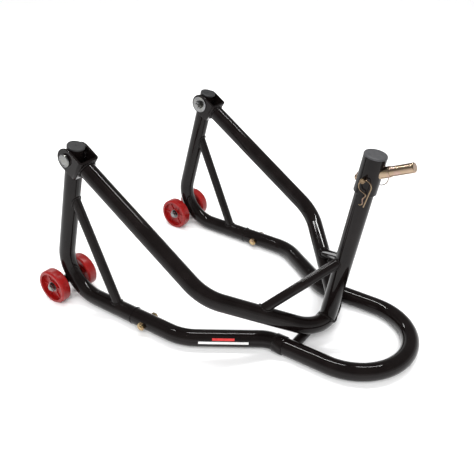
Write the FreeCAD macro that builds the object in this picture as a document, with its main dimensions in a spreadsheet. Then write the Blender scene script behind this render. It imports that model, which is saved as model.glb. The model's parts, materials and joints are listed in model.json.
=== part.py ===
import FreeCAD, Part
import Sketcher
import math
import os
from FreeCAD import Placement, Rotation, Vector

# Front paddock stand that lifts a motorcycle by its steering head.
# +X runs from the wheels to the handle loop, +Y across, +Z up, in millimetres.
# The origin is on the floor, in the middle of the stand's outline.

doc = FreeCAD.newDocument("paddock_stand")
sheet = doc.addObject("Spreadsheet::Sheet", "dims")

DRIVING = {
    "overall_length": 836,
    "frame_half_width": 226,
    "tube_dia": 38,
    "tube_wall": 2.5,
    "strut_dia": 22,
    "strut_wall": 2,
    "wheel_dia": 84,
    "wheel_width": 25,
    "wheel_offset": 42,
    "hub_dia": 30,
    "hub_width": 13,
    "bush_dia": 16,
    "axle_dia": 12,
    "running_gap": 0.05,
    "part_gap": 0.3,
    "base_bend": 86,
    "upright_lean": 16.3,
    "upright_run": 282.5,
    "pivot_drop": 24,
    "front_run": 121.4,
    "strut_rise": 166,
    "strut_setback": 48,
    "spigot_dia": 32.8,
    "spigot_length": 110,
    "joint_bolt_dia": 10,
    "joint_bolt_inset": 38,
    "arm_run": 103,
    "arm_bend": 110,
    "arm_end_bend": 60,
    "arm_turn": 33.5,
    "loop_half_width": 122.5,
    "collar_dia": 42,
    "collar_length": 24,
    "loop_run": 112.5,
    "cross_bar_inset": 89,
    "cross_bar_step": 2.6,
    "pivot_bolt_dia": 12,
    "pivot_bush_dia": 20,
    "clevis_gap": 42,
    "clevis_plate": 5,
    "clevis_half_height": 24.5,
    "clevis_reach": 33,
    "clevis_bend": 7,
    "fold_angle": 34.4,
    "yoke_run": 323,
    "yoke_bend": 110,
    "yoke_turn": 40.3,
    "apex_bend": 109.5,
    "post_lean": 9.1,
    "post_length": 409,
    "brace_top": 167,
    "brace_foot": 82,
    "sleeve_dia": 46,
    "sleeve_length": 76,
    "head_pin_dia": 22,
    "head_pin_nose_dia": 19.7,
    "head_pin_rise": 23.8,
    "head_pin_body": 23,
    "head_pin_tail": 30,
    "head_pin_tail_dia": 13,
    "head_pin_shoulder": 43,
    "head_pin_length": 90.5,
    "head_pin_drop": 41.5,
    "cross_pin_dia": 10,
    "cross_pin_reach": 35,
    "clip_hole": 4.9,
    "clip_wire": 2.4,
    "clip_offset": 28.5,
    "clip_bulb": 12.5,
    "clip_hang": 20,
    "clip_tilt": 15,
    "clip_leg": 41,
    "clip_wrap": 260,
    "clip_bite": 7,
    "clip_waist": 4,
    "clip_wave": 8,
    "clip_swell": 50,
    "clip_flare": 70,
    "ring_wire": 2,
    "ring_rad": 16,
    "ring_offset": 27,
    "ring_swing": 45,
    "ring_hole": 4,
    "boss_half_length": 26,
    "axle_nut_flats": 18,
    "axle_nut_height": 7,
    "washer_height": 1.2,
    "washer_dia": 24,
    "pivot_head_dia": 28,
    "pivot_head_height": 5,
    "pivot_washer_dia": 40,
    "pivot_washer_height": 2.5,
    "pivot_nut_flats": 18,
    "pivot_nut_height": 10,
    "joint_flats": 17,
    "joint_head_height": 6.5,
    "bolt_tail": 3,
    "cap_height": 3.5,
    "plug_dia": 32.8,
    "plug_depth": 12,
}
for row, (alias, number) in enumerate(DRIVING.items(), start=1):
    sheet.set(f"A{row}", alias)
    sheet.set(f"B{row}", str(number))
    sheet.setAlias(f"B{row}", alias)
doc.recompute()

SIDES = (("left", -1), ("right", 1))
X_AXIS = Vector(1, 0, 0)
Y_AXIS = Vector(0, 1, 0)
Z_AXIS = Vector(0, 0, 1)
NODES = []


def dim(alias):
    """A driving dimension as a number."""
    return float(sheet.get(alias))


def value(formula):
    """A formula over the sheet's names as a number."""
    result = sheet.evalExpression(formula)
    return float(getattr(result, "Value", result))


def keep(obj, placement=None):
    """Register a finished sub-part and put it in its place."""
    if placement is not None:
        obj.Placement = placement
    NODES.append(obj)
    return obj


def turned(axis, angle, base=Vector()):
    return Placement(base, Rotation(axis, angle))


# ---------------------------------------------------------------- sketches

def origin_plane(body, role):
    return next(f for f in body.Origin.OriginFeatures if f.Role == role)


def new_body(label):
    body = doc.addObject("PartDesign::Body", label)
    body.Label = label
    return body


def new_sketch(body, name, role, offset=None):
    """A sketch on one of the body's origin planes, lifted along its normal by a formula."""
    sketch = body.newObject("Sketcher::SketchObject", name)
    sketch.AttachmentSupport = [(origin_plane(body, role), "")]
    sketch.MapMode = "FlatFace"
    if offset is not None:
        sketch.setExpression("AttachmentOffset.Base.z", offset)
    return sketch


def add_circle(sketch, diameter, x="0", y="0"):
    """A circle whose diameter and centre are formulas."""
    centre = Vector(value(x), value(y), 0)
    circle = sketch.addGeometry(Part.Circle(centre, Z_AXIS, value(diameter) / 2))
    index = sketch.addConstraint(Sketcher.Constraint("Diameter", circle, value(diameter)))
    sketch.setExpression(f"Constraints[{index}]", diameter)
    for direction, place, formula in (("DistanceX", centre.x, x), ("DistanceY", centre.y, y)):
        if formula == "0":
            kind = "PointOnObject"
            target = -2 if direction == "DistanceX" else -1
            sketch.addConstraint(Sketcher.Constraint(kind, circle, 3, target))
            continue
        index = sketch.addConstraint(Sketcher.Constraint(direction, -1, 1, circle, 3, place))
        sketch.setExpression(f"Constraints[{index}]", formula)
    return circle


def add_outline(sketch, corners):
    """A closed polygon whose corners are pairs of formulas."""
    points = [Vector(value(x), value(y), 0) for x, y in corners]
    count = len(points)
    lines = []
    for i, point in enumerate(points):
        lines.append(sketch.addGeometry(Part.LineSegment(point, points[(i + 1) % count])))
    for i, line in enumerate(lines):
        following = lines[(i + 1) % count]
        sketch.addConstraint(Sketcher.Constraint("Coincident", line, 2, following, 1))
    for i, (x, y) in enumerate(corners):
        for direction, place, formula in (("DistanceX", points[i].x, x), ("DistanceY", points[i].y, y)):
            if abs(place) < 1e-9:
                target = -2 if direction == "DistanceX" else -1
                sketch.addConstraint(Sketcher.Constraint("PointOnObject", lines[i], 1, target))
                continue
            index = sketch.addConstraint(Sketcher.Constraint(direction, -1, 1, lines[i], 1, place))
            sketch.setExpression(f"Constraints[{index}]", formula)
    return lines


def add_route(sketch, steps):
    """A bent tube's centre line: it leaves the origin along +X in runs and tangent turns.

    A step is ("run", length) or ("turn", radius, angle, side), side +1 to the left.
    """
    place = Vector()
    heading = 0.0
    previous = None
    for step in steps:
        if step[0] == "run":
            length = value(step[1])
            end = place + length * Vector(math.cos(heading), math.sin(heading), 0)
            edge = sketch.addGeometry(Part.LineSegment(place, end))
            first, last = 1, 2
            size = ("Distance", length, step[1])
        else:
            radius = value(step[1])
            sweep = math.radians(value(step[2]))
            side = step[3]
            centre = place + side * radius * Vector(-math.sin(heading), math.cos(heading), 0)
            start = math.atan2(place.y - centre.y, place.x - centre.x)
            low, high = (start, start + sweep) if side > 0 else (start - sweep, start)
            circle = Part.Circle(centre, Z_AXIS, radius)
            edge = sketch.addGeometry(Part.ArcOfCircle(circle, low, high))
            first, last = (1, 2) if side > 0 else (2, 1)
            finish = start + side * sweep
            end = centre + radius * Vector(math.cos(finish), math.sin(finish), 0)
            heading += side * sweep
            size = ("Radius", radius, step[1])
        if previous is None:
            sketch.addConstraint(Sketcher.Constraint("Coincident", edge, first, -1, 1))
            sketch.addConstraint(Sketcher.Constraint("Horizontal", edge))
        else:
            sketch.addConstraint(Sketcher.Constraint("Tangent", previous[0], previous[1], edge, first))
        index = sketch.addConstraint(Sketcher.Constraint(size[0], edge, size[1]))
        sketch.setExpression(f"Constraints[{index}]", size[2])
        if step[0] == "turn":
            index = sketch.addConstraint(Sketcher.Constraint("Angle", edge, sweep))
            sketch.setExpression(f"Constraints[{index}]", f"({step[2]}) * 1 deg")
        previous = (edge, last)
        place = end


def add_pipe(body, steps, outer, inner=None):
    """Sweep a round section, hollow if inner is given, along a bent centre line."""
    section = new_sketch(body, body.Label + "_section", "YZ_Plane")
    add_circle(section, outer)
    if inner is not None:
        add_circle(section, inner)
    route = new_sketch(body, body.Label + "_route", "XY_Plane")
    add_route(route, steps)
    pipe = body.newObject("PartDesign::AdditivePipe", body.Label + "_pipe")
    pipe.Profile = section
    pipe.Spine = (route, ["Edge%d" % (i + 1) for i in range(len(steps))])
    section.Visibility = False
    return pipe


def add_pad(body, sketch, length, midplane=False, reverse=False):
    pad = body.newObject("PartDesign::Pad", sketch.Name + "_pad")
    pad.Profile = sketch
    pad.setExpression("Length", length)
    pad.Midplane = midplane
    pad.Reversed = reverse
    return pad


def add_cut(body, sketch):
    """Pocket a sketch right through the body, both ways."""
    pocket = body.newObject("PartDesign::Pocket", sketch.Name + "_cut")
    pocket.Profile = sketch
    pocket.Type = "ThroughAll"
    pocket.Midplane = True
    return pocket


def add_hole(body, name, role, diameter, x, y, offset=None):
    sketch = new_sketch(body, name, role, offset)
    add_circle(sketch, diameter, x, y)
    return add_cut(body, sketch)


# -------------------------------------------------------------- primitives

def cylinder(name, diameter, length, placement=Placement()):
    """A plain round bar from its base along +Z, sized by formulas."""
    bar = doc.addObject("Part::Cylinder", name)
    bar.setExpression("Radius", f"({diameter}) / 2")
    bar.setExpression("Height", length)
    bar.Placement = placement
    return bar


def hexagon(name, across_flats, height, placement=Placement()):
    prism = doc.addObject("Part::Prism", name)
    prism.Polygon = 6
    prism.setExpression("Circumradius", f"({across_flats}) / 2 / cos(30)")
    prism.setExpression("Height", height)
    prism.Placement = placement
    return prism


def fuse(name, shapes):
    joined = doc.addObject("Part::MultiFuse", name)
    joined.Shapes = shapes
    joined.Label = name
    return joined


def cut(name, base, tool):
    result = doc.addObject("Part::Cut", name)
    result.Base = base
    result.Tool = tool
    result.Label = name
    return result


def sleeve(name, outer, inner, length):
    """A round sleeve along +Z, centred on its origin."""
    body = new_body(name)
    ring = new_sketch(body, name + "_ring", "XY_Plane")
    add_circle(ring, outer)
    add_circle(ring, inner)
    add_pad(body, ring, length, midplane=True)
    return body


def group(name, parts):
    """Identical loose fasteners kept together as one sub-part."""
    compound = doc.addObject("Part::Compound", name)
    compound.Links = parts
    compound.Label = name
    return compound


# ------------------------------------------------- where things are, in XZ

TUBE_RAD = dim("tube_dia") / 2
FRAME_Z = dim("collar_dia") / 2
HALF_LENGTH = dim("overall_length") / 2
HALF_WIDTH = dim("frame_half_width")
LEAN = math.radians(dim("upright_lean"))

axle_x = -HALF_LENGTH + dim("wheel_dia") / 2
axle_z = dim("wheel_dia") / 2
bend_z = FRAME_Z + dim("base_bend")
boss_reach = dim("base_bend") + TUBE_RAD + dim("strut_dia") / 2
bend_x = axle_x + math.sqrt(boss_reach ** 2 - (bend_z - axle_z) ** 2)
upright_foot = Vector(bend_x, 0, bend_z) + dim("base_bend") * Vector(-math.cos(LEAN), 0, math.sin(LEAN))
upright_way = Vector(math.sin(LEAN), 0, math.cos(LEAN))
upright_top = upright_foot + upright_way * dim("upright_run")
pivot = upright_top - upright_way * dim("pivot_drop")
joint_x = bend_x + dim("front_run")
loop_centre_x = HALF_LENGTH - TUBE_RAD - dim("loop_half_width")
seam_x = loop_centre_x - dim("loop_run")

# The lift frame folds about the pivot: its own frame has +X along the arms.
lift_place = turned(Y_AXIS, dim("fold_angle"), pivot)
YOKE_START = "dims.clevis_reach + dims.clevis_plate"
PIVOT_BORE = "dims.pivot_bolt_dia + 2 * dims.running_gap"
yoke_turn = math.radians(dim("yoke_turn"))
yoke_slope = Vector(math.cos(yoke_turn), math.sin(yoke_turn), 0)
slope_start = Vector(value(YOKE_START) + dim("yoke_run") + dim("yoke_bend") * math.sin(yoke_turn),
                     -HALF_WIDTH + dim("yoke_bend") * (1 - math.cos(yoke_turn)), 0)
SLOPE_RUN = ("(dims.frame_half_width - dims.yoke_bend * (1 - cos(dims.yoke_turn))"
             " - dims.apex_bend * cos(dims.yoke_turn)) / sin(dims.yoke_turn)")
slope_end = slope_start + yoke_slope * value(SLOPE_RUN)
apex_centre_x = slope_end.x - dim("apex_bend") * math.sin(yoke_turn)
apex = lift_place.multVec(Vector(apex_centre_x + dim("apex_bend"), 0, 0))
post_place = turned(Y_AXIS, dim("post_lean"), apex)
pin_cross = post_place.multVec(Vector(0, 0, dim("post_length") - dim("head_pin_drop")))
pin_place = turned(Y_AXIS, 90 - dim("head_pin_rise"), pin_cross)


def across(x, y, z, side=1):
    """Stand a part made along +Z across the stand, its base at x, y, z, pointing to side."""
    return turned(X_AXIS, -90 * side, Vector(x, y, z))


def between(start, end):
    return Placement(start, Rotation(Z_AXIS, end - start))


# -------------------------------------------------------------- base frame

def upright_tube(label, side):
    body = new_body(label)
    steps = [("run", "dims.front_run"),
             ("turn", "dims.base_bend", "90 + dims.upright_lean", 1),
             ("run", "dims.upright_run")]
    add_pipe(body, steps, "dims.tube_dia", "dims.tube_dia - 2 * dims.tube_wall")
    rise = "(dims.upright_run - dims.pivot_drop)"
    hole_x = f"dims.front_run + dims.base_bend * cos(dims.upright_lean) - {rise} * sin(dims.upright_lean)"
    hole_y = f"dims.base_bend * (1 + sin(dims.upright_lean)) + {rise} * cos(dims.upright_lean)"
    add_hole(body, label + "_pivot_hole", "XY_Plane", "dims.pivot_bush_dia", hole_x, hole_y)
    place = turned(Vector(0, 1, 1), 180, Vector(joint_x, side * HALF_WIDTH, FRAME_Z))
    return keep(body, place)


def side_arm(label, side):
    body = new_body(label)
    drop = "(dims.arm_bend + dims.arm_end_bend)"
    slope = (f"(dims.frame_half_width - dims.loop_half_width - {drop} * (1 - cos(dims.arm_turn)))"
             " / sin(dims.arm_turn)")
    tail = (f"{seam_x - joint_x} - dims.arm_run - {drop} * sin(dims.arm_turn)"
            f" - {slope} * cos(dims.arm_turn)")
    steps = [("run", "dims.arm_run"),
             ("turn", "dims.arm_bend", "dims.arm_turn", -side),
             ("run", slope),
             ("turn", "dims.arm_end_bend", "dims.arm_turn", side),
             ("run", tail)]
    add_pipe(body, steps, "dims.tube_dia", "dims.tube_dia - 2 * dims.tube_wall")
    add_hole(body, label + "_bolt_hole", "XZ_Plane", "dims.joint_bolt_dia + 2 * dims.running_gap",
             "dims.joint_bolt_inset", "0")
    return keep(body, Placement(Vector(joint_x, side * HALF_WIDTH, FRAME_Z), Rotation()))


def joint_spigot(label, side):
    body = new_body(label)
    ring = new_sketch(body, label + "_ring", "YZ_Plane")
    add_circle(ring, "dims.spigot_dia")
    add_circle(ring, "dims.spigot_dia - 2 * dims.tube_wall")
    add_pad(body, ring, "dims.spigot_length", midplane=True)
    add_hole(body, label + "_bolt_hole", "XZ_Plane", "dims.joint_bolt_dia + 2 * dims.running_gap",
             "dims.joint_bolt_inset", "0")
    return keep(body, Placement(Vector(joint_x, side * HALF_WIDTH, FRAME_Z), Rotation()))


def handle_loop(label):
    body = new_body(label)
    steps = [("run", "dims.loop_run"),
             ("turn", "dims.loop_half_width", "180", 1),
             ("run", "dims.loop_run")]
    add_pipe(body, steps, "dims.tube_dia", "dims.tube_dia - 2 * dims.tube_wall")
    return keep(body, Placement(Vector(seam_x, -dim("loop_half_width"), FRAME_Z), Rotation()))


def loop_collar(label, side):
    body = sleeve(label, "dims.collar_dia", "dims.tube_dia + 2 * dims.running_gap", "dims.collar_length")
    return keep(body, turned(Y_AXIS, 90, Vector(seam_x, side * dim("loop_half_width"), FRAME_Z)))


def envelope(name, start, end, diameter="dims.tube_dia"):
    """The solid bar that a tube fills from start to end, for coping what is welded to it."""
    bar = doc.addObject("Part::Cylinder", name)
    bar.setExpression("Radius", f"({diameter}) / 2")
    bar.Height = (end - start).Length
    bar.Placement = between(start, end)
    return bar


def coped_strut(label, start, end, neighbours):
    """A thin tube between two points, its ends cut to fit the neighbours it meets."""
    outer = envelope(label + "_outer", start, end, "dims.strut_dia")
    inner = envelope(label + "_bore", start, end, "dims.strut_dia - 2 * dims.strut_wall")
    tool = fuse(label + "_copes", [inner, *neighbours])
    return keep(cut(label, outer, tool))


def upright_strut(label, side):
    shift = Vector(0, side * HALF_WIDTH, 0)
    high = upright_foot + upright_way * dim("strut_rise") + shift
    low = Vector(joint_x - dim("strut_setback"), 0, FRAME_Z) + shift
    upright = envelope(label + "_upright", upright_foot + shift, upright_top + shift)
    front = envelope(label + "_front", Vector(bend_x, 0, FRAME_Z) + shift,
                     Vector(joint_x, 0, FRAME_Z) + shift)
    return coped_strut(label, high, low, [upright, front])


def axle_boss(label, side):
    """The short tube on the outside of the bend that the axle stud passes through."""
    outer = cylinder(label + "_outer", "dims.strut_dia", "2 * dims.boss_half_length",
                     across(axle_x, side * HALF_WIDTH - dim("boss_half_length"), axle_z))
    bore = cylinder(label + "_bore", "dims.axle_dia + 2 * dims.running_gap", "2 * dims.boss_half_length",
                    across(axle_x, side * HALF_WIDTH - dim("boss_half_length"), axle_z))
    bend = doc.addObject("Part::Torus", label + "_bend")
    bend.setExpression("Radius1", "dims.base_bend")
    bend.setExpression("Radius2", "dims.tube_dia / 2")
    bend.Placement = turned(X_AXIS, 90, Vector(bend_x, side * HALF_WIDTH, bend_z))
    return keep(cut(label, outer, fuse(label + "_cuts", [bore, bend])))


def cross_bar(label):
    x = loop_centre_x - dim("cross_bar_inset")
    z = FRAME_Z - TUBE_RAD + dim("strut_dia") / 2 + dim("cross_bar_step")
    reach = Vector(0, dim("loop_half_width"), 0)
    neighbours = []
    for side_label, side in SIDES:
        start = Vector(seam_x, side * dim("loop_half_width"), FRAME_Z)
        end = Vector(loop_centre_x, side * dim("loop_half_width"), FRAME_Z)
        neighbours.append(envelope(f"{label}_{side_label}", start, end))
    return coped_strut(label, Vector(x, 0, z) - reach, Vector(x, 0, z) + reach, neighbours)


def upright_cap(label, side):
    """A plastic plug: rounded rim on the tube's end, a skirt inside it, a pip hole on top."""
    body = new_body(label)
    profile = new_sketch(body, label + "_profile", "XZ_Plane")
    add_outline(profile, [("0.8", "dims.cap_height - 0.6"), ("1.4", "dims.cap_height"),
                          ("dims.tube_dia / 2 - 2", "dims.cap_height"),
                          ("dims.tube_dia / 2 - 0.6", "dims.cap_height - 0.7"),
                          ("dims.tube_dia / 2", "dims.cap_height - 2"),
                          ("dims.tube_dia / 2", "0"), ("dims.plug_dia / 2", "0"),
                          ("dims.plug_dia / 2", "-dims.plug_depth"),
                          ("dims.plug_dia / 2 - 2", "-dims.plug_depth"),
                          ("dims.plug_dia / 2 - 2", "-1"), ("0.8", "-1")])
    revolve(body, profile)
    place = turned(Y_AXIS, dim("upright_lean"), upright_top + Vector(0, side * HALF_WIDTH, 0))
    return keep(body, place)


def revolve(body, profile):
    """Turn a profile, drawn to the right of the sketch's upright axis, all the way round."""
    turn = body.newObject("PartDesign::Revolution", profile.Name + "_turn")
    turn.Profile = profile
    turn.ReferenceAxis = (profile, ["V_Axis"])
    turn.Angle = 360
    return turn


def pivot_bush(label, side):
    body = sleeve(label, "dims.pivot_bush_dia", PIVOT_BORE, "dims.clevis_gap - 2 * dims.part_gap")
    return keep(body, across(pivot.x, side * HALF_WIDTH, pivot.z))


# ------------------------------------------------------------------ wheels

def wheel(label, y):
    """A moulded wheel: tyre ring, thin web, hub and ribs on both faces."""
    body = new_body(label)
    profile = new_sketch(body, label + "_profile", "XZ_Plane")
    half, hub, rad = "dims.wheel_width / 2", "dims.hub_width / 2", "dims.wheel_dia / 2"
    upper = [("dims.bush_dia / 2", hub), ("dims.hub_dia / 2", hub), ("dims.hub_dia / 2", "3"),
             (f"{rad} - 9", "3"), (f"{rad} - 8", half), (f"{rad} - 3", half), (rad, f"{half} - 3")]
    lower = [(x, f"-({y_formula})") for x, y_formula in reversed(upper)]
    add_outline(profile, upper + lower)
    revolve(body, profile)
    bar = new_sketch(body, label + "_rib", "XY_Plane")
    add_outline(bar, [("dims.hub_dia / 2 - 1", "-1.8"), (f"{rad} - 8", "-1.8"),
                      (f"{rad} - 8", "1.8"), ("dims.hub_dia / 2 - 1", "1.8")])
    pad = add_pad(body, bar, "dims.hub_width - 2", midplane=True)
    ribs = body.newObject("PartDesign::PolarPattern", label + "_ribs")
    ribs.Originals = [pad]
    ribs.Axis = (bar, ["N_Axis"])
    ribs.Angle = 360
    ribs.Occurrences = 6
    body.Tip = ribs
    return keep(body, across(axle_x, y, axle_z))


def wheel_bush(label, y):
    body = sleeve(label, "dims.bush_dia", "dims.axle_dia + 2 * dims.running_gap", "dims.hub_width")
    return keep(body, across(axle_x, y, axle_z))


def washer(name, diameter, bore, height, placement):
    disc = cylinder(name + "_disc", diameter, height, placement)
    hole = cylinder(name + "_hole", bore, height, placement)
    return cut(name, disc, hole)


def nut(name, flats, bore, height, placement):
    """A lock nut: hexagon with a chamfered top and a round collar above it."""
    prism = hexagon(name + "_hexagon", flats, f"({height}) * 0.72", placement)
    collar = cylinder(name + "_collar", f"({flats}) * 0.86", height, placement)
    hole = cylinder(name + "_hole", bore, height, placement)
    return cut(name, fuse(name + "_blank", [prism, collar]), hole)


def axle_hardware():
    """Studs through the bosses, with a spacer, washer and lock nut for each wheel."""
    spacers, washers, nuts, studs = [], [], [], []
    bore = "dims.axle_dia + 2 * dims.running_gap"
    hub_outer = dim("wheel_offset") + dim("hub_width") / 2
    stud_half = ("dims.wheel_offset + dims.hub_width / 2 + dims.part_gap + dims.washer_height"
                 " + dims.axle_nut_height + dims.bolt_tail / 2")
    spacer_length = "dims.wheel_offset - dims.hub_width / 2 - dims.part_gap - dims.boss_half_length"
    for side_label, side in SIDES:
        y = side * HALF_WIDTH
        length = f"2 * ({stud_half})"
        studs.append(cylinder(f"{side_label}_stud", "dims.axle_dia", length,
                              across(axle_x, y - value(length) / 2, axle_z)))
        for face in (-1, 1):
            tag = f"{side_label}_{'inner' if face == -side else 'outer'}"
            spacers.append(washer(f"{tag}_spacer", "dims.strut_dia", bore, spacer_length,
                                  across(axle_x, y + face * dim("boss_half_length"), axle_z, face)))
            start = y + face * (hub_outer + dim("part_gap"))
            washers.append(washer(f"{tag}_washer", "dims.washer_dia", bore, "dims.washer_height",
                                  across(axle_x, start, axle_z, face)))
            nuts.append(nut(f"{tag}_nut", "dims.axle_nut_flats", bore, "dims.axle_nut_height",
                            across(axle_x, start + face * dim("washer_height"), axle_z, face)))
    keep(group("axle_studs", studs))
    keep(group("axle_spacers", spacers))
    keep(group("axle_washers", washers))
    keep(group("axle_nuts", nuts))


def joint_hardware():
    """Bolts that hold the side arms on the spigots, every head towards +Y and every nut towards -Y."""
    bolts, nuts = [], []
    x = joint_x + dim("joint_bolt_inset")
    for side_label, side in SIDES:
        head_face = side * HALF_WIDTH + TUBE_RAD
        nut_face = side * HALF_WIDTH - TUBE_RAD
        head_end = head_face + dim("joint_head_height")
        shank = cylinder(f"{side_label}_joint_shank", "dims.joint_bolt_dia",
                         "dims.tube_dia + 2 * dims.joint_head_height + dims.bolt_tail",
                         across(x, head_end, FRAME_Z, -1))
        head = hexagon(f"{side_label}_joint_head", "dims.joint_flats", "dims.joint_head_height",
                       across(x, head_face, FRAME_Z))
        bolts.append(fuse(f"{side_label}_joint_bolt", [shank, head]))
        nuts.append(nut(f"{side_label}_joint_nut", "dims.joint_flats",
                        "dims.joint_bolt_dia + 2 * dims.running_gap",
                        "dims.joint_head_height + dims.bolt_tail / 2", across(x, nut_face, FRAME_Z, -1)))
    keep(group("joint_bolts", bolts))
    keep(group("joint_nuts", nuts))


# -------------------------------------------------------------- lift frame

def corner_edges(shape, x):
    """Names of the straight upright edges that stand at x."""
    names = []
    for i, edge in enumerate(shape.Edges, start=1):
        ends = [v.Point for v in edge.Vertexes]
        stands = len(ends) == 2 and abs(ends[0].y - ends[1].y) < 1e-6 and abs(ends[0].z - ends[1].z) > 1
        if stands and all(abs(end.x - x) < 1e-6 for end in ends):
            names.append(f"Edge{i}")
    return names


def clevis_bracket(label, side):
    """A U of plate: two rounded ears on the pivot bolt and a web that the arm is welded to."""
    body = new_body(label)
    outline = new_sketch(body, label + "_outline", "XZ_Plane")
    half = "dims.clevis_half_height"
    add_outline(outline, [("0", half), ("0", f"-({half})"),
                          (YOKE_START, f"-({half})"), (YOKE_START, half)])
    add_pad(body, outline, "dims.clevis_gap + 2 * dims.clevis_plate", midplane=True)
    nose = new_sketch(body, label + "_nose", "XZ_Plane")
    add_circle(nose, f"2 * ({half})")
    add_pad(body, nose, "dims.clevis_gap + 2 * dims.clevis_plate", midplane=True)
    slot = new_sketch(body, label + "_slot", "XY_Plane")
    back = "-dims.clevis_half_height - 5"
    add_outline(slot, [(back, "-dims.clevis_gap / 2"), ("dims.clevis_reach", "-dims.clevis_gap / 2"),
                       ("dims.clevis_reach", "dims.clevis_gap / 2"), (back, "dims.clevis_gap / 2")])
    add_cut(body, slot)
    hole = add_hole(body, label + "_bolt_hole", "XZ_Plane", PIVOT_BORE, "0", "0")
    doc.recompute()
    bend = body.newObject("PartDesign::Fillet", label + "_bend")
    bend.Base = (hole, corner_edges(hole.Shape, value(YOKE_START)))
    bend.setExpression("Radius", "dims.clevis_bend")
    doc.recompute()
    inner_bend = body.newObject("PartDesign::Fillet", label + "_inner_bend")
    inner_bend.Base = (bend, corner_edges(bend.Shape, dim("clevis_reach")))
    inner_bend.setExpression("Radius", "dims.clevis_bend - dims.clevis_plate")
    place = lift_place.multiply(Placement(Vector(0, side * HALF_WIDTH, 0), Rotation()))
    return keep(body, place)


def lift_yoke(label):
    """One tube bent in a plane: two arms that lean in and meet in a rounded apex."""
    body = new_body(label)
    steps = [("run", "dims.yoke_run"),
             ("turn", "dims.yoke_bend", "dims.yoke_turn", 1),
             ("run", SLOPE_RUN),
             ("turn", "dims.apex_bend", "180 - 2 * dims.yoke_turn", 1),
             ("run", SLOPE_RUN),
             ("turn", "dims.yoke_bend", "dims.yoke_turn", 1),
             ("run", "dims.yoke_run")]
    add_pipe(body, steps, "dims.tube_dia", "dims.tube_dia - 2 * dims.tube_wall")
    start = Placement(Vector(value(YOKE_START), -HALF_WIDTH, 0), Rotation())
    return keep(body, lift_place.multiply(start))


def head_bores(name):
    """The two holes through post and sleeve: headstock pin and cross pin."""
    length = "3 * dims.sleeve_dia"
    start = -1.5 * dim("sleeve_dia")
    main = cylinder(name + "_main_bore", "dims.head_pin_dia + 2 * dims.running_gap", length,
                    pin_place.multiply(Placement(Vector(0, 0, start), Rotation())))
    lock = cylinder(name + "_lock_bore", "dims.cross_pin_dia + 2 * dims.running_gap", length,
                    across(pin_cross.x, start, pin_cross.z))
    return [main, lock]


def post(label):
    outer = cylinder(label + "_outer", "dims.tube_dia", "dims.post_length", post_place)
    inner = cylinder(label + "_bore", "dims.tube_dia - 2 * dims.tube_wall", "dims.post_length", post_place)
    bend = doc.addObject("Part::Torus", label + "_apex")
    bend.setExpression("Radius1", "dims.apex_bend")
    bend.setExpression("Radius2", "dims.tube_dia / 2")
    bend.Placement = lift_place.multiply(Placement(Vector(apex_centre_x, 0, 0), Rotation()))
    tool = fuse(label + "_cuts", [inner, bend, *head_bores(label)])
    return keep(cut(label, outer, tool))


def post_brace(label, side):
    foot_local = slope_start + yoke_slope * dim("brace_foot")
    foot = lift_place.multVec(Vector(foot_local.x, -side * foot_local.y, 0))
    ends = [lift_place.multVec(Vector(p.x, -side * p.y, 0)) for p in (slope_start, slope_end)]
    top = post_place.multVec(Vector(0, 0, dim("brace_top")))
    arm = envelope(label + "_arm", *ends)
    upright = cylinder(label + "_post", "dims.tube_dia", "dims.post_length", post_place)
    return coped_strut(label, foot, top, [arm, upright])


def head_sleeve(label):
    rise = dim("post_length") - dim("sleeve_length")
    base = post_place.multiply(Placement(Vector(0, 0, rise), Rotation()))
    outer = cylinder(label + "_outer", "dims.sleeve_dia", "dims.sleeve_length", base)
    inner = cylinder(label + "_bore", "dims.tube_dia + 2 * dims.running_gap", "dims.sleeve_length", base)
    return keep(cut(label, outer, fuse(label + "_cuts", [inner, *head_bores(label)])))


def head_cap(label):
    """A plastic plug over the sleeve and into the post."""
    body = new_body(label)
    profile = new_sketch(body, label + "_profile", "XZ_Plane")
    add_outline(profile, [("0", "dims.cap_height"), ("dims.sleeve_dia / 2 - 2.4", "dims.cap_height"),
                          ("dims.sleeve_dia / 2 - 0.8", "dims.cap_height - 0.6"),
                          ("dims.sleeve_dia / 2", "dims.cap_height - 2.2"),
                          ("dims.sleeve_dia / 2", "0"), ("dims.plug_dia / 2", "0"),
                          ("dims.plug_dia / 2", "-dims.plug_depth"), ("0", "-dims.plug_depth")])
    revolve(body, profile)
    return keep(body, post_place.multiply(Placement(Vector(0, 0, dim("post_length")), Rotation())))


def headstock_pin(label):
    """A stepped pin through the head: it stands up into the steering stem's lower end."""
    body = new_body(label)
    profile = new_sketch(body, label + "_profile", "XZ_Plane")
    base, nose = "dims.head_pin_dia / 2", "dims.head_pin_nose_dia / 2"
    tail = "dims.head_pin_tail_dia / 2"
    add_outline(profile, [("0", "dims.head_pin_length"), (f"{nose} - 1.5", "dims.head_pin_length"),
                          (nose, "dims.head_pin_length - 1.5"), (nose, "dims.head_pin_shoulder"),
                          (base, "dims.head_pin_shoulder"), (base, "-dims.head_pin_body"),
                          (tail, "-dims.head_pin_body"), (tail, "-dims.head_pin_tail + 1"),
                          (f"{tail} - 1", "-dims.head_pin_tail"), ("0", "-dims.head_pin_tail")])
    revolve(body, profile)
    add_hole(body, label + "_lock_hole", "XZ_Plane", "dims.cross_pin_dia + 2 * dims.running_gap", "0", "0")
    return keep(body, pin_place)


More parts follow.
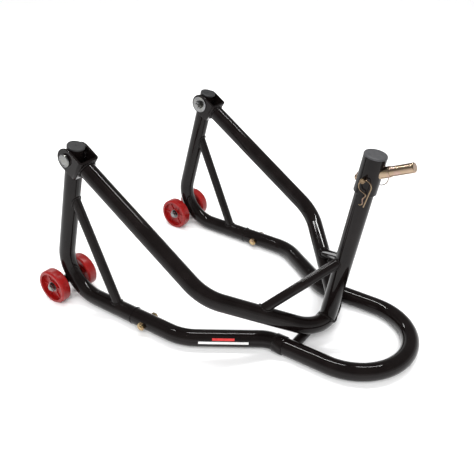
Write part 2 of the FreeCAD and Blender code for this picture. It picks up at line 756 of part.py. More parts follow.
def pivot_hardware():
    """Round-headed bolts on the outside, wide washers and lock nuts on the inside."""
    bolts, washers, nuts = [], [], []
    half = dim("clevis_gap") / 2 + dim("clevis_plate")
    for side_label, side in SIDES:
        outside = side * (HALF_WIDTH + half)
        inside = side * (HALF_WIDTH - half)
        head_end = outside + side * dim("pivot_head_height")
        length = ("dims.clevis_gap + 2 * dims.clevis_plate + dims.pivot_head_height"
                  " + dims.pivot_washer_height + dims.pivot_nut_height + dims.bolt_tail")
        shank = cylinder(f"{side_label}_pivot_shank", "dims.pivot_bolt_dia", length,
                         across(pivot.x, head_end, pivot.z, -side))
        head = cylinder(f"{side_label}_pivot_head", "dims.pivot_head_dia", "dims.pivot_head_height",
                        across(pivot.x, outside, pivot.z, side))
        bolts.append(fuse(f"{side_label}_pivot_bolt", [shank, head]))
        washers.append(washer(f"{side_label}_pivot_washer", "dims.pivot_washer_dia", PIVOT_BORE,
                              "dims.pivot_washer_height", across(pivot.x, inside, pivot.z, -side)))
        seat = inside - side * dim("pivot_washer_height")
        nuts.append(nut(f"{side_label}_pivot_nut", "dims.pivot_nut_flats", PIVOT_BORE,
                        "dims.pivot_nut_height", across(pivot.x, seat, pivot.z, -side)))
    keep(group("pivot_bolts", bolts))
    keep(group("pivot_washers", washers))
    keep(group("pivot_nuts", nuts))


# --------------------------------------------------- cross pin, clip, ring

def clip_centre():
    """The bulb's centre: the bulb hangs from the cross pin, which its wire passes through."""
    hang = math.radians(dim("clip_hang"))
    down = Vector(math.sin(hang), 0, -math.cos(hang))
    return pin_cross + down * dim("clip_bulb") - Y_AXIS * dim("clip_offset")


def pin_hole(name, diameter, middle, way):
    """A hole through the cross pin, along way, for a wire."""
    middle_up = Placement(middle, Rotation(Z_AXIS, way))
    base = Placement(Vector(0, 0, -dim("cross_pin_dia")), Rotation())
    return cylinder(name, diameter, "2 * dims.cross_pin_dia", middle_up.multiply(base))


def cross_pin(label):
    """Locks the headstock pin: holes near its ends take the R-clip and the pull ring."""
    blank = cylinder(label + "_bar", "dims.cross_pin_dia", "2 * dims.cross_pin_reach",
                     across(pin_cross.x, -dim("cross_pin_reach"), pin_cross.z))
    hang = math.radians(dim("clip_hang"))
    clip_way = Vector(math.cos(hang), 0, math.sin(hang))
    clip_hole = pin_hole(label + "_clip_hole", "dims.clip_hole",
                         pin_cross - Y_AXIS * dim("clip_offset"), clip_way)
    swing = math.radians(dim("ring_swing"))
    ring_way = Vector(math.cos(swing), 0, math.sin(swing))
    ring_hole = pin_hole(label + "_ring_hole", "dims.ring_hole",
                         pin_cross + Y_AXIS * dim("ring_offset"), ring_way)
    return keep(cut(label, blank, fuse(label + "_holes", [clip_hole, ring_hole])))


def r_clip(label):
    """Spring wire in one plane: a straight leg, a round bulb and a waved leg that grips."""
    body = new_body(label)
    steps = [("run", "dims.clip_leg"),
             ("turn", "dims.clip_bulb", "dims.clip_wrap", 1),
             ("run", "dims.clip_bite"),
             ("turn", "dims.clip_waist", "dims.clip_wrap - 180 + dims.clip_swell / 2", -1),
             ("run", "dims.clip_waist"),
             ("turn", "dims.clip_wave", "dims.clip_swell", 1),
             ("run", "dims.clip_waist"),
             ("turn", "dims.clip_waist", "dims.clip_flare", -1),
             ("run", "dims.clip_waist")]
    add_pipe(body, steps, "dims.clip_wire")
    tilt = math.radians(dim("clip_tilt"))
    up_leg = Vector(math.sin(tilt), 0, math.cos(tilt))
    off_leg = Vector(-math.cos(tilt), 0, math.sin(tilt))
    tip = clip_centre() - up_leg * dim("clip_leg") - off_leg * dim("clip_bulb")
    return keep(body, Placement(tip, Rotation(up_leg, off_leg, -Y_AXIS, "XYZ")))


def pull_ring(label):
    """A wire ring that hangs from the cross pin's far end."""
    ring = doc.addObject("Part::Torus", label)
    ring.setExpression("Radius1", "dims.ring_rad")
    ring.setExpression("Radius2", "dims.ring_wire / 2")
    ring.Label = label
    swing = math.radians(dim("ring_swing"))
    centre = pin_cross + Vector(math.sin(swing), 0, -math.cos(swing)) * dim("ring_rad")
    return keep(ring, turned(X_AXIS, 90, centre + Y_AXIS * dim("ring_offset")))


for side_label, side in SIDES:
    upright_tube(f"{side_label}_upright_tube", side)
    side_arm(f"{side_label}_side_arm", side)
    joint_spigot(f"{side_label}_joint_spigot", side)
    loop_collar(f"{side_label}_loop_collar", side)
    upright_strut(f"{side_label}_upright_strut", side)
    axle_boss(f"{side_label}_axle_boss", side)
    upright_cap(f"{side_label}_upright_cap", side)
    pivot_bush(f"{side_label}_pivot_bush", side)
    clevis_bracket(f"{side_label}_clevis_bracket", side)
    post_brace(f"{side_label}_post_brace", side)
    for place_label, face in (("inner", -side), ("outer", side)):
        y = side * HALF_WIDTH + face * dim("wheel_offset")
        wheel(f"{side_label}_{place_label}_wheel", y)
        wheel_bush(f"{side_label}_{place_label}_wheel_bush", y)
handle_loop("handle_loop")
cross_bar("cross_bar")
axle_hardware()
joint_hardware()
lift_yoke("lift_yoke")
post("post")
head_sleeve("head_sleeve")
head_cap("head_cap")
headstock_pin("headstock_pin")
pivot_hardware()
cross_pin("cross_pin")
r_clip("r_clip")
pull_ring("pull_ring")

doc.recompute()

for obj in doc.Objects:
    bad = {"Invalid", "Error"} & set(obj.State)
    if bad:
        raise RuntimeError(f"{obj.Label} is {sorted(bad)}")
os.makedirs("parts", exist_ok=True)
for node in NODES:
    if node.Shape.isNull() or not node.Shape.isValid():
        raise RuntimeError(f"{node.Label} has no sound shape")
for node in NODES:
    node.Shape.exportStep(f"parts/{node.Label}.step")
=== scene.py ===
import json
import math

import bpy
import numpy as np
from mathutils import Matrix, Vector
from mathutils.bvhtree import BVHTree


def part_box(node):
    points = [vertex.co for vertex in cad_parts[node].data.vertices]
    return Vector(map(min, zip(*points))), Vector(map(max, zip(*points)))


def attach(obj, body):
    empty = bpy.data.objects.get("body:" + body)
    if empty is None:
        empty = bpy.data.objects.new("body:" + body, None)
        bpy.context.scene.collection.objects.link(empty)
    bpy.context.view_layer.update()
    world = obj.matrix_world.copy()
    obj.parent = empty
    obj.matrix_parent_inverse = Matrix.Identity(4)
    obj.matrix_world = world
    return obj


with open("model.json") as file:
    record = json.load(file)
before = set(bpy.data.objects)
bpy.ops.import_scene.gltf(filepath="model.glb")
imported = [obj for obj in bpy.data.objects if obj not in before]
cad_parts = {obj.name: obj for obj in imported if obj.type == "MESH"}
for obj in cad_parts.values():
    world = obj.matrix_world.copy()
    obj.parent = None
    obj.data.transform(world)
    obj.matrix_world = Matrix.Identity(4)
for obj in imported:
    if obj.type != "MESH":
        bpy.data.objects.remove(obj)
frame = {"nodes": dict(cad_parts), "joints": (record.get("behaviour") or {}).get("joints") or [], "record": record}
nodes = frame["nodes"]
record = frame["record"]
joints = {joint["name"]: joint for joint in frame["joints"]}
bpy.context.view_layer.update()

MM = 0.001
SIDES = (("left", -1), ("right", 1))
X_AXIS = Vector((1, 0, 0))
Y_AXIS = Vector((0, 1, 0))
Y_MINUS = Vector((0, -1, 0))
Z_AXIS = Vector((0, 0, 1))


def joint_point(name):
    return Vector(joints[name]["pos_m"])


pivot = joint_point("lift_hinge")
pin_cross = joint_point("cross_pin_turn")
nose_mount = next(m for m in record["mounts"] if m["name"] == "headstock_pin_nose")
pin_axis = Vector(nose_mount["axis"]).normalized()


# ------------------------------------------------------------- materials

class Shader:
    """A material's node tree, with short calls for the nodes used here."""

    def __init__(self, name):
        self.material = bpy.data.materials.new(name)
        self.material.use_nodes = True
        self.tree = self.material.node_tree
        self.nodes = self.tree.nodes
        self.surface = self.nodes["Principled BSDF"]
        self.place = self.nodes.new("ShaderNodeTexCoord").outputs["Object"]

    def link(self, source, target):
        self.tree.links.new(source, target)

    def put(self, node, socket, source):
        if isinstance(source, bpy.types.NodeSocket):
            self.link(source, node.inputs[socket])
        else:
            node.inputs[socket].default_value = source

    def stretched(self, scale, turn=(0, 0, 0)):
        """Object coordinates turned, then scaled, so that a pattern can run along one direction."""
        turned = self.nodes.new("ShaderNodeMapping")
        turned.vector_type = "POINT"
        turned.inputs["Rotation"].default_value = turn
        self.link(self.place, turned.inputs["Vector"])
        scaled = self.nodes.new("ShaderNodeMapping")
        scaled.inputs["Scale"].default_value = scale
        self.link(turned.outputs["Vector"], scaled.inputs["Vector"])
        return scaled.outputs["Vector"]

    def noise(self, scale, detail=3.0, roughness=0.5, vector=None, distortion=0.0):
        node = self.nodes.new("ShaderNodeTexNoise")
        self.link(vector or self.place, node.inputs["Vector"])
        node.inputs["Scale"].default_value = scale
        node.inputs["Detail"].default_value = detail
        node.inputs["Roughness"].default_value = roughness
        node.inputs["Distortion"].default_value = distortion
        return node.outputs["Fac"]

    def spots(self, scale):
        node = self.nodes.new("ShaderNodeTexVoronoi")
        self.link(self.place, node.inputs["Vector"])
        node.inputs["Scale"].default_value = scale
        return node.outputs["Distance"]

    def between(self, source, low, high, out_low=0.0, out_high=1.0):
        node = self.nodes.new("ShaderNodeMapRange")
        self.link(source, node.inputs["Value"])
        node.inputs["From Min"].default_value = low
        node.inputs["From Max"].default_value = high
        node.inputs["To Min"].default_value = out_low
        node.inputs["To Max"].default_value = out_high
        return node.outputs["Result"]

    def maths(self, operation, first, second):
        node = self.nodes.new("ShaderNodeMath")
        node.operation = operation
        self.put(node, 0, first)
        self.put(node, 1, second)
        return node.outputs[0]

    def plus(self, first, second):
        return self.maths("ADD", first, second)

    def times(self, first, second):
        return self.maths("MULTIPLY", first, second)

    def mix(self, factor, first, second):
        node = self.nodes.new("ShaderNodeMix")
        node.data_type = "RGBA"
        self.put(node, "Factor", factor)
        for socket, colour in (("A", first), ("B", second)):
            target = [s for s in node.inputs if s.name == socket and s.type == "RGBA"][0]
            if isinstance(colour, bpy.types.NodeSocket):
                self.link(colour, target)
            else:
                target.default_value = (*colour, 1)
        return [s for s in node.outputs if s.type == "RGBA"][0]

    def height(self):
        """Height above the floor, in metres."""
        split = self.nodes.new("ShaderNodeSeparateXYZ")
        self.link(self.place, split.inputs["Vector"])
        return split.outputs["Z"]

    def bump(self, *layers):
        """Layers of bump, each a (height source, depth in metres)."""
        normal = None
        for source, depth in layers:
            node = self.nodes.new("ShaderNodeBump")
            node.inputs["Strength"].default_value = 1.0
            node.inputs["Distance"].default_value = depth
            self.link(source, node.inputs["Height"])
            if normal is not None:
                self.link(normal, node.inputs["Normal"])
            normal = node.outputs["Normal"]
        self.link(normal, self.surface.inputs["Normal"])

    def finish(self, colour, roughness, metallic=0.0, **fixed):
        """Connect the surface; the fixed numbers go straight on its own sockets."""
        self.link(colour, self.surface.inputs["Base Color"])
        self.link(roughness, self.surface.inputs["Roughness"])
        self.surface.inputs["Metallic"].default_value = metallic
        for name, number in fixed.items():
            self.surface.inputs[name.replace("_", " ")].default_value = number
        return self.material


def frame_paint():
    """Gloss black powder coat: orange peel, specks of dust, scuffs where it meets the floor."""
    s = Shader("frame_paint_gloss")
    tone = s.between(s.noise(28, 4), 0.35, 0.7)
    black = s.mix(tone, (0.0040, 0.0028, 0.0027), (0.0070, 0.0052, 0.0050))
    specks = s.between(s.spots(420), 0.035, 0.0)
    dusty = s.mix(s.times(specks, 0.15), black, (0.12, 0.118, 0.11))
    near_floor = s.between(s.height(), 5.5 * MM, 1.5 * MM)
    rub = s.times(near_floor, s.between(s.noise(160, 5), 0.48, 0.62))
    colour = s.mix(rub, dusty, (0.055, 0.054, 0.052))
    gloss = s.between(s.noise(75, 5, 0.6), 0.3, 0.75, 0.04, 0.11)
    rough = s.plus(gloss, s.times(rub, 0.35))
    s.bump((s.noise(330, 2), 0.02 * MM), (s.noise(1500, 2), 0.004 * MM))
    return s.finish(colour, rough, Coat_Weight=0.14, Coat_Roughness=0.03, IOR=1.22)


def wheel_red():
    """Moulded red plastic, a little translucent, with faint flow marks and scuffs."""
    s = Shader("wheel_red_plastic")
    flow = s.noise(55, 5, 0.6, distortion=0.8)
    red = s.mix(s.between(flow, 0.3, 0.7), (0.19, 0.0035, 0.003), (0.26, 0.006, 0.006))
    scuff = s.between(s.noise(420, 6, 0.65), 0.60, 0.72, 0.0, 0.35)
    colour = s.mix(scuff, red, (0.27, 0.028, 0.022))
    rough = s.plus(s.between(s.noise(210, 4), 0.3, 0.7, 0.27, 0.40), s.times(scuff, 0.4))
    s.bump((s.noise(900, 4), 0.03 * MM), (s.noise(120, 3), 0.08 * MM))
    return s.finish(colour, rough, Subsurface_Weight=0.15, Subsurface_Scale=2 * MM, IOR=1.4)


def cap_plastic(name, dark, light):
    """Injection-moulded matt plastic with a fine spark-eroded grain."""
    s = Shader(name)
    tone = s.mix(s.between(s.noise(130, 4), 0.3, 0.7), dark, light)
    lint = s.between(s.spots(900), 0.05, 0.0, 0.0, 0.35)
    colour = s.mix(lint, tone, (0.22, 0.22, 0.22))
    rough = s.between(s.noise(800, 3), 0.3, 0.7, 0.42, 0.6)
    s.bump((s.noise(2600, 3, 0.7), 0.05 * MM), (s.noise(300, 2), 0.03 * MM))
    return s.finish(colour, rough, IOR=1.46)


TURNING_MARKS = (3500, 30, 30)


def plated(name, pale, deep, tint, turn=(0, 0, 0)):
    """Plated steel: passivation clouds of three tones over fine turning marks."""
    s = Shader(name)
    clouds = s.mix(s.between(s.noise(140, 4, 0.55, distortion=0.6), 0.35, 0.65), pale, deep)
    colour = s.mix(s.between(s.noise(65, 3), 0.5, 0.72), clouds, tint)
    marks = s.noise(1, 2, 0.6, vector=s.stretched(TURNING_MARKS, turn))
    rough = s.between(s.noise(260, 5, 0.6), 0.25, 0.75, 0.17, 0.24)
    s.bump((marks, 0.0005 * MM), (s.noise(420, 3), 0.0015 * MM))
    return s.finish(colour, rough, 1.0)


def bush_steel():
    """Bare steel with turning marks about the axle's direction."""
    s = Shader("turned_steel")
    colour = s.mix(s.between(s.noise(240, 5), 0.3, 0.7), (0.42, 0.41, 0.40), (0.55, 0.55, 0.55))
    marks = s.noise(1, 2, 0.6, vector=s.stretched((60, 2600, 60)))
    s.bump((marks, 0.01 * MM), (s.noise(900, 3), 0.015 * MM))
    return s.finish(colour, s.between(s.noise(300, 4), 0.3, 0.7, 0.28, 0.45), 1.0)


def vinyl(name, dark, light):
    """Printed film stuck on the paint."""
    s = Shader(name)
    colour = s.mix(s.between(s.noise(90, 4), 0.3, 0.7), dark, light)
    s.bump((s.noise(700, 3), 0.01 * MM), (s.noise(60, 2), 0.03 * MM))
    return s.finish(colour, s.between(s.noise(350, 4), 0.3, 0.7, 0.28, 0.42), IOR=1.45)


pin_turn = (0, math.atan2(pin_axis.z, pin_axis.x), 0)
MATERIALS = {
    "frame_paint": frame_paint(),
    "wheel_plastic": wheel_red(),
    "cap_plastic": cap_plastic("cap_dark_plastic", (0.010, 0.010, 0.0105), (0.017, 0.017, 0.018)),
    "head_cap_plastic": cap_plastic("cap_grey_plastic", (0.036, 0.036, 0.039), (0.053, 0.053, 0.056)),
    "bush_steel": bush_steel(),
    "yellow_zinc": plated("yellow_zinc_plate", (0.50, 0.39, 0.20), (0.44, 0.30, 0.17), (0.48, 0.31, 0.25)),
    "bright_zinc": plated("bright_zinc_plate", (0.28, 0.28, 0.285), (0.17, 0.17, 0.17), (0.24, 0.24, 0.215)),
}
turned_zinc = plated("yellow_zinc_turned", (0.41, 0.32, 0.20), (0.38, 0.27, 0.21),
                     (0.44, 0.30, 0.26), pin_turn)
# A darker copy of the yellow zinc for the clip, cross pin and pull ring: painted shade, standing in for how dark
# these thin parts look under the studio light, not a different plating.
painted_shade_zinc = plated("yellow_zinc_painted_shade", (0.26, 0.19, 0.11), (0.20, 0.14, 0.09), (0.24, 0.15, 0.12))
# The head pin gets its own turning marks; the clip, cross pin and pull ring get the darker zinc copy, which is
# painted shade.
turned_finish_and_painted_shade = {"headstock_pin": turned_zinc, "cross_pin": painted_shade_zinc, "r_clip": painted_shade_zinc,
                    "pull_ring": painted_shade_zinc}
slot_of = {part["node"]: part["material_slot"] for part in record["subparts"]}
for name, node in nodes.items():
    for material_slot in node.material_slots:
        material_slot.material = turned_finish_and_painted_shade.get(name) or MATERIALS[slot_of[name]]


# ---------------------------------------------------------- mesh building

def add_to_scene(thing):
    bpy.context.scene.collection.objects.link(thing)


def new_piece(name, points, faces, body, slot, material=None, smooth=True):
    mesh = bpy.data.meshes.new(name)
    mesh.from_pydata([tuple(p) for p in points], [], faces)
    mesh.validate()
    mesh.polygons.foreach_set("use_smooth", [smooth] * len(mesh.polygons))
    mesh.materials.append(material or MATERIALS[slot])
    piece = bpy.data.objects.new(name, mesh)
    add_to_scene(piece)
    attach(piece, body)
    return piece


def grid_faces(rows, columns, close_rows=True):
    """Quads between rows of points; each row is a closed ring, and the last row meets the first if asked."""
    faces = []
    for i in range(rows if close_rows else rows - 1):
        for j in range(columns):
            k, m = (i + 1) % rows, (j + 1) % columns
            faces.append((i * columns + j, i * columns + m, k * columns + m, k * columns + j))
    return faces


def node_points(name):
    """A node's vertices, one row each."""
    return np.array([v.co for v in nodes[name].data.vertices], float)


def straight_tube(name):
    """(middle, axis, radius, half length) of a straight tube or bar, measured from its mesh."""
    mesh = nodes[name].data
    normals = np.array([p.normal for p in mesh.polygons], float)
    areas = np.array([p.area for p in mesh.polygons], float)
    _, directions = np.linalg.eigh((normals * areas[:, None]).T @ normals)
    axis = directions[:, 0]
    points = node_points(name)
    side = directions[:, 1:]
    flat = points @ side
    low, high = flat.min(0), flat.max(0)
    along = points @ axis
    middle = side @ ((low + high) / 2) + axis * (along.min() + along.max()) / 2
    radius = float((high - low).max() / 2)
    return Vector(middle), Vector(axis), radius, float(along.max() - along.min()) / 2


def node_tree(*names):
    """The faces of some nodes together, for casting rays at them."""
    points, faces = [], []
    for name in names:
        mesh = nodes[name].data
        start = len(points)
        points.extend(v.co for v in mesh.vertices)
        faces.extend([start + i for i in p.vertices] for p in mesh.polygons)
    return BVHTree.FromPolygons(points, faces)


def upper_end(tube):
    """+1 or -1: the way along a straight tube's axis that leads up."""
    return 1 if straight_tube(tube)[1].z > 0 else -1


def square_to(axis):
    """Two directions square to an axis and to each other."""
    first = axis.orthogonal().normalized()
    return first, axis.cross(first).normalized()


def smooth_loop(points):
    """A closed loop with its small corners rounded off."""
    for _ in range(3):
        count = len(points)
        points = [(points[i - 1] + 2 * points[i] + points[(i + 1) % count]) / 4 for i in range(count)]
    return points


def spaced(points, step):
    """The closed loop through points, at even steps along its length."""
    loop = np.array([*points, points[0]], float)
    lengths = np.concatenate([[0], np.cumsum(np.linalg.norm(np.diff(loop, axis=0), axis=1))])
    count = max(48, int(lengths[-1] / step))
    marks = np.linspace(0, lengths[-1], count, endpoint=False)
    return [Vector([np.interp(m, lengths, loop[:, k]) for k in range(3)]) for m in marks], lengths[-1]


BEAD_RADIUS = 2.3 * MM
BEAD_STEP = 0.4 * MM
BEAD_SIDES = 10
RIPPLE_PITCH = 2.4 * MM
LOOP_POINTS = 240


def weld_bead(name, loop, centre, body, size=BEAD_RADIUS):
    """A rippled bead along a closed loop: overlapping scales, each swelling and then dropping."""
    loop, length = spaced(smooth_loop(loop), BEAD_STEP)
    count = len(loop)
    ripples = max(8, round(length / RIPPLE_PITCH))
    points = []
    for i, place in enumerate(loop):
        ahead = (loop[(i + 1) % count] - loop[i - 1]).normalized()
        out = place - centre
        out = (out - ahead * out.dot(ahead)).normalized()
        across = ahead.cross(out)
        phase = i * ripples / count
        rise = phase - math.floor(phase)
        wander = 0.06 * math.sin(5.1 * phase) + 0.05 * math.sin(1.7 * phase + 2)
        radius = size * (0.86 + 0.16 * math.sin(math.pi * rise ** 0.7) + wander)
        for j in range(BEAD_SIDES):
            angle = 2 * math.pi * j / BEAD_SIDES
            points.append(place + (out * math.cos(angle) + across * math.sin(angle)) * radius)
    return new_piece(name, points, grid_faces(count, BEAD_SIDES), body, "frame_paint")


def end_weld(name, tube, end, neighbours, body, size=BEAD_RADIUS):
    """The bead round a tube's end, where it meets its neighbours; end is +1 or -1 along the tube."""
    middle, axis, radius, half = straight_tube(tube)
    first, second = square_to(axis)
    tree = node_tree(*neighbours)
    loop = []
    for i in range(LOOP_POINTS):
        angle = 2 * math.pi * i / LOOP_POINTS
        start = middle + (first * math.cos(angle) + second * math.sin(angle)) * (radius + 0.3 * MM)
        hit = tree.ray_cast(start, axis * end, 2 * half)[0]
        if hit is not None:
            loop.append(hit)
    centre = sum(loop, Vector()) / len(loop)
    return weld_bead(name, loop, centre, body, size)


def ring_weld(name, centre, axis, radius, body, size=1.8 * MM):
    """A bead round a circle about an axis."""
    first, second = square_to(axis)
    turns = [2 * math.pi * i / LOOP_POINTS for i in range(LOOP_POINTS)]
    loop = [centre + (first * math.cos(a) + second * math.sin(a)) * radius for a in turns]
    return weld_bead(name, loop, centre, body, size)


def lathe(name, profile, base, axis, body, slot, material=None, turns=64, smooth=True):
    """Turn a profile of (distance along the axis, radius) about base and axis."""
    first, second = square_to(axis)
    points = []
    for i in range(turns):
        angle = 2 * math.pi * i / turns
        out = first * math.cos(angle) + second * math.sin(angle)
        points.extend(base + axis * along + out * radius for along, radius in profile)
    return new_piece(name, points, grid_faces(turns, len(profile)), body, slot, material, smooth)


THREAD_PITCH = 1.5 * MM


def thread(name, tip, axis, radius, length, body, slot):
    """Thread rings on a plain shank, from its tip back; axis points out of the tip."""
    core = radius - 0.9 * MM
    root = radius - 0.35 * MM
    crest = radius + 0.12 * MM
    profile = [(0.0, core)]
    for i in range(int(length / THREAD_PITCH)):
        start = (i + 0.25) * THREAD_PITCH
        profile += [(start, root), (start + 0.35 * THREAD_PITCH, crest),
                    (start + 0.5 * THREAD_PITCH, crest), (start + 0.85 * THREAD_PITCH, root)]
    profile.append((length, core))
    return lathe(name, profile, tip, -axis, body, slot, turns=48, smooth=False)


def raised_rim(name, profile, face, out, body, slot, material=None):
    """A low rim round a flat end; the profile is (height, radius) in millimetres."""
    lathe(name, [(height * MM, radius * MM) for height, radius in profile], face, out, body, slot, material)


# ------------------------------------------------------------------ welds

post_radius = straight_tube("post")[2]

for side_label, _ in SIDES:
    upright = f"{side_label}_upright_tube"
    strut = f"{side_label}_upright_strut"
    end_weld(f"{side_label}_strut_top_weld", strut, upper_end(strut), [upright], "base_frame")
    end_weld(f"{side_label}_strut_foot_weld", strut, -upper_end(strut), [upright], "base_frame")
    brace = f"{side_label}_post_brace"
    end_weld(f"{side_label}_brace_top_weld", brace, upper_end(brace), ["post"], "lift_frame")
    end_weld(f"{side_label}_brace_foot_weld", brace, -upper_end(brace), ["lift_yoke"], "lift_frame")

end_weld("post_foot_weld", "post", -upper_end("post"), ["lift_yoke"], "lift_frame", 2.8 * MM)

bar_way = 1 if straight_tube("cross_bar")[1].y > 0 else -1
for side_label, side in SIDES:
    end_weld(f"{side_label}_cross_bar_weld", "cross_bar", side * bar_way, ["handle_loop"], "base_frame")

sleeve_middle, sleeve_axis, _, sleeve_half = straight_tube("head_sleeve")
sleeve_axis = sleeve_axis * upper_end("head_sleeve")
ring_weld("sleeve_foot_weld", sleeve_middle - sleeve_axis * sleeve_half, sleeve_axis,
          post_radius + 1.2 * MM, "lift_frame")

YOKE_SLOPE = math.radians(34.4)  # how steeply the yoke's upper runs fall below level
WEB_REACH = 38 * MM              # from the pivot to the outside of the clevis's web, down that slope
down_slope = Vector((math.cos(YOKE_SLOPE), 0, -math.sin(YOKE_SLOPE)))
for side_label, _ in SIDES:
    upright_low, upright_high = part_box(f"{side_label}_upright_tube")
    tube_y = (upright_low[1] + upright_high[1]) / 2
    web = Vector((pivot.x, tube_y, pivot.z)) + down_slope * WEB_REACH
    ring_weld(f"{side_label}_clevis_weld", web, down_slope, post_radius + 0.8 * MM, "lift_frame", 2.5 * MM)
    seam = Vector((upright_high[0], tube_y, upright_low[2] + post_radius))
    ring_weld(f"{side_label}_joint_ring", seam, X_AXIS, post_radius - 0.2 * MM, "base_frame", 1.2 * MM)

BEND_RADIUS = 86 * MM    # of the upright tube's lower bend, at its centre line
FRONT_RUN = 121.4 * MM   # from the middle of the joint spigot to the centre of that bend
TOUCH_ACROSS = 8.5 * MM  # half the patch where the boss touches, along the axle
TOUCH_ALONG = 6.5 * MM   # and along the tube
TOUCH_POINTS = 120


def boss_weld(side_label):
    """The bead round the spot where the axle boss touches the outside of the bend."""
    middle, _, boss_radius, _ = straight_tube(f"{side_label}_axle_boss")
    tube_low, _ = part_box(f"{side_label}_upright_tube")
    spigot_low, spigot_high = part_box(f"{side_label}_joint_spigot")
    bend = Vector(((spigot_low[0] + spigot_high[0]) / 2 - FRONT_RUN, middle.y,
                   tube_low[2] + post_radius + BEND_RADIUS))
    wheel = joint_point(f"{side_label}_inner_wheel_spin")
    axle = Vector((wheel.x, middle.y, wheel.z))
    out = (axle - bend).normalized()
    along = out.cross(Y_AXIS).normalized()
    touch = bend + out * (BEND_RADIUS + post_radius)
    loop = []
    for i in range(TOUCH_POINTS):
        angle = 2 * math.pi * i / TOUCH_POINTS
        t, u = TOUCH_ACROSS * math.cos(angle), TOUCH_ALONG * math.sin(angle)
        boss_drop = boss_radius - math.sqrt(boss_radius ** 2 - u ** 2)
        tube_drop = post_radius - math.sqrt(post_radius ** 2 - t ** 2)
        loop.append(touch + Y_AXIS * t + along * u + out * (boss_drop - tube_drop) / 2)
    weld_bead(f"{side_label}_axle_boss_weld", loop, touch, "base_frame", 2.2 * MM)


for side_label, _ in SIDES:
    boss_weld(side_label)


# ---------------------------------------------------- thread ends and rims

M12_RADIUS = 6 * MM
M10_RADIUS = 5 * MM
STUD_THREAD = 7 * MM
JOINT_THREAD = 9 * MM
PIVOT_THREAD = 10 * MM
PIVOT_HEAD_RIM = ((-0.4, 13.2), (0.5, 12.9), (0.8, 12.2), (0.5, 11.4), (-0.4, 11.1))
CROSS_PIN_RIM = ((-0.3, 4.4), (0.4, 4.2), (0.6, 3.6), (0.4, 2.9), (-0.3, 2.7))


def tips_by_side(name):
    """Low and high tips along Y of a node's left bar, then of its right one."""
    points = node_points(name)
    tips = []
    for _, side in SIDES:
        mine = points[points[:, 1] * side >= 0]
        low, high = mine.min(0), mine.max(0)
        x, _, z = (low + high) / 2
        tips.append((Vector((x, low[1], z)), Vector((x, high[1], z))))
    return tips


for (low, high), (side_label, _) in zip(tips_by_side("axle_studs"), SIDES):
    for end_label, tip, way in (("low", low, Y_MINUS), ("high", high, Y_AXIS)):
        thread(f"{side_label}_stud_thread_{end_label}", tip, way, M12_RADIUS, STUD_THREAD,
               "base_frame", "bright_zinc")
for (low, _), (side_label, _) in zip(tips_by_side("joint_bolts"), SIDES):
    thread(f"{side_label}_joint_thread", low, Y_MINUS, M10_RADIUS, JOINT_THREAD, "base_frame", "yellow_zinc")
for (low, high), (side_label, side) in zip(tips_by_side("pivot_bolts"), SIDES):
    tip, way = (high, Y_AXIS) if side < 0 else (low, Y_MINUS)
    thread(f"{side_label}_pivot_thread", tip, way, M12_RADIUS, PIVOT_THREAD, "lift_frame", "bright_zinc")
    face, out = (low, Y_MINUS) if side < 0 else (high, Y_AXIS)
    raised_rim(f"{side_label}_pivot_head_rim", PIVOT_HEAD_RIM, face, out, "lift_frame", "bright_zinc")

cross_pin_low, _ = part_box("cross_pin")
cross_pin_tip = Vector((pin_cross.x, cross_pin_low[1], pin_cross.z))
# The cross pin's end rim takes the same darker zinc copy, which is painted shade.
raised_rim("cross_pin_end_rim", CROSS_PIN_RIM, cross_pin_tip, Y_MINUS, "cross_pin", "yellow_zinc", painted_shade_zinc)


# ------------------------------------------------------ stripe on the arm

STRIPE_START = Vector((5.191, -207.728, 21.0)) * MM  # where the left side arm's slanting run starts
STRIPE_TURN = math.radians(33.5)                     # how far that run turns in from straight ahead


def arm_stripe(name, start, end, low, high, material):
    """A thin film round part of the left side arm, low and high in degrees above its outer side."""
    ahead = Vector((math.cos(STRIPE_TURN), math.sin(STRIPE_TURN), 0))
    outside = Vector((math.sin(STRIPE_TURN), -math.cos(STRIPE_TURN), 0))
    rows, columns = 24, 16
    points = []
    for i in range(rows):
        along = start + (end - start) * i / (rows - 1)
        for radius, order in ((post_radius + 0.2 * MM, 1), (post_radius - 0.15 * MM, -1)):
            for j in range(columns)[::order]:
                angle = math.radians(low + (high - low) * j / (columns - 1))
                out = outside * math.cos(angle) + Z_AXIS * math.sin(angle)
                points.append(STRIPE_START + ahead * along + out * radius)
    around = 2 * columns
    faces = grid_faces(rows, around, close_rows=False)
    faces.append(tuple(range(around - 1, -1, -1)))
    faces.append(tuple((rows - 1) * around + k for k in range(around)))
    return new_piece(name, points, faces, "base_frame", "frame_paint", material, smooth=False)


white_film = vinyl("film_white", (0.60, 0.60, 0.60), (0.70, 0.70, 0.69))
red_film = vinyl("film_red", (0.40, 0.02, 0.02), (0.52, 0.03, 0.03))
arm_stripe("arm_stripe_white", 4 * MM, 112 * MM, -2, 15, white_film)
arm_stripe("arm_stripe_red", 34 * MM, 82 * MM, 22, 38, red_film)


# ------------------------------------------------------- softened CAD edges

def soften(name, width):
    """A small radius on a part's sharp edges, so that they catch the light."""
    node = nodes[name]
    weld = node.modifiers.new("join", "WELD")
    weld.merge_threshold = 0.01 * MM
    flats = node.modifiers.new("flats", "DECIMATE")
    flats.decimate_type = "DISSOLVE"
    flats.angle_limit = math.radians(0.3)
    bevel = node.modifiers.new("edge", "BEVEL")
    bevel.limit_method = "ANGLE"
    bevel.angle_limit = math.radians(40)
    bevel.width = width
    bevel.segments = 2
    bevel.use_clamp_overlap = True
    bevel.harden_normals = True


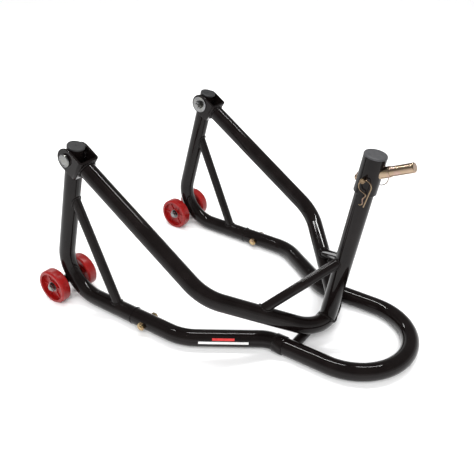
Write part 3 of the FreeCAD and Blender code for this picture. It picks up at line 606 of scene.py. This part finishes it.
# how a node's name ends, and the width of its softened edges in millimetres
SOFT_EDGES = {"_wheel": 0.7, "_clevis_bracket": 0.9, "_loop_collar": 0.7, "_nuts": 0.5,
              "_washers": 0.3, "pivot_bolts": 0.9, "joint_bolts": 0.5, "_spacers": 0.3, "_studs": 0.5,
              "cross_pin": 0.5, "headstock_pin": 0.4, "_axle_boss": 0.4}
for name in nodes:
    for ending, width in SOFT_EDGES.items():
        if name.endswith(ending):
            soften(name, width * MM)


# ------------------------------------------------------- floor, light, camera

FLOOR_REACH = 45.0


def stage_floor():
    mesh = bpy.data.meshes.new("studio_floor")
    corners = [(x * FLOOR_REACH, y * FLOOR_REACH, 0) for x, y in ((-1, -1), (1, -1), (1, 1), (-1, 1))]
    mesh.from_pydata(corners, [], [(0, 1, 2, 3)])
    s = Shader("floor_pale")
    colour = s.mix(s.between(s.noise(2.5, 3), 0.3, 0.7), (0.945, 0.945, 0.95), (0.96, 0.96, 0.96))
    s.bump((s.noise(300, 2), 0.02 * MM))
    mesh.materials.append(s.finish(colour, s.between(s.noise(8, 3), 0.3, 0.7, 0.6, 0.75), IOR=1.4))
    floor = bpy.data.objects.new("studio_floor", mesh)
    add_to_scene(floor)


def area_light(name, place, target, size, power):
    data = bpy.data.lights.new(name, "AREA")
    data.shape = "RECTANGLE"
    data.size, data.size_y = size
    data.energy = power
    light = bpy.data.objects.new(name, data)
    light.location = place
    light.rotation_mode = "QUATERNION"
    light.rotation_quaternion = (Vector(target) - Vector(place)).to_track_quat("-Z", "Y")
    add_to_scene(light)


def studio_world():
    """A dim room with a bright band round the horizon."""
    world = bpy.data.worlds.new("studio")
    world.use_nodes = True
    tree = world.node_tree
    place = tree.nodes.new("ShaderNodeTexCoord")
    split = tree.nodes.new("ShaderNodeSeparateXYZ")
    tree.links.new(place.outputs["Generated"], split.inputs["Vector"])
    fade = tree.nodes.new("ShaderNodeMapRange")
    fade.interpolation_type = "SMOOTHSTEP"
    for socket, number in (("From Min", 0.10), ("From Max", 0.42), ("To Min", 0.95), ("To Max", 0.24)):
        fade.inputs[socket].default_value = number
    tree.links.new(split.outputs["Z"], fade.inputs["Value"])
    tree.links.new(fade.outputs["Result"], tree.nodes["Background"].inputs["Strength"])
    tree.nodes["Background"].inputs["Color"].default_value = (1.0, 1.0, 1.0, 1.0)
    bpy.context.scene.world = world


def soft_sun(place, power, spread):
    """Light from one side that reaches the whole floor evenly, and leaves no broad band on the gloss."""
    data = bpy.data.lights.new("key", "SUN")
    data.energy = power
    data.angle = math.radians(spread)
    light = bpy.data.objects.new("key", data)
    light.rotation_mode = "QUATERNION"
    light.rotation_quaternion = (-Vector(place)).to_track_quat("-Z", "Y")
    light.visible_glossy = False
    add_to_scene(light)


stage_floor()
studio_world()
soft_sun((1.6, -2.6, 3.0), 3.15, 50)
area_light("overhead", (-0.4, 0.5, 3.4), (0, 0, 0), (3.4, 0.12), 100)
area_light("rim", (-2.6, 1.2, 2.0), (0, 0, 0.2), (0.22, 0.5), 11)

scene = bpy.context.scene
scene.view_settings.view_transform = "Standard"
scene.view_settings.look = "None"

CAMERA_PLACE = Vector((0.654844, -1.002575, 0.869078))
VIEW_RIGHT = Vector((0.822985, 0.568046, 0.004465))
VIEW_DOWN = Vector((0.288639, -0.411385, -0.864552))
VIEW_AHEAD = Vector((-0.489268, 0.712802, -0.502524))
camera_data = bpy.data.cameras.new("camera")
camera_data.lens = 45.86
camera_data.sensor_width = 36.0
camera_data.clip_start = 0.01
camera_data.clip_end = 60.0
camera = bpy.data.objects.new("camera", camera_data)
turn = Matrix((VIEW_RIGHT, -VIEW_DOWN, -VIEW_AHEAD)).transposed().to_4x4()
camera.matrix_world = Matrix.Translation(CAMERA_PLACE) @ turn
add_to_scene(camera)
scene.camera = camera
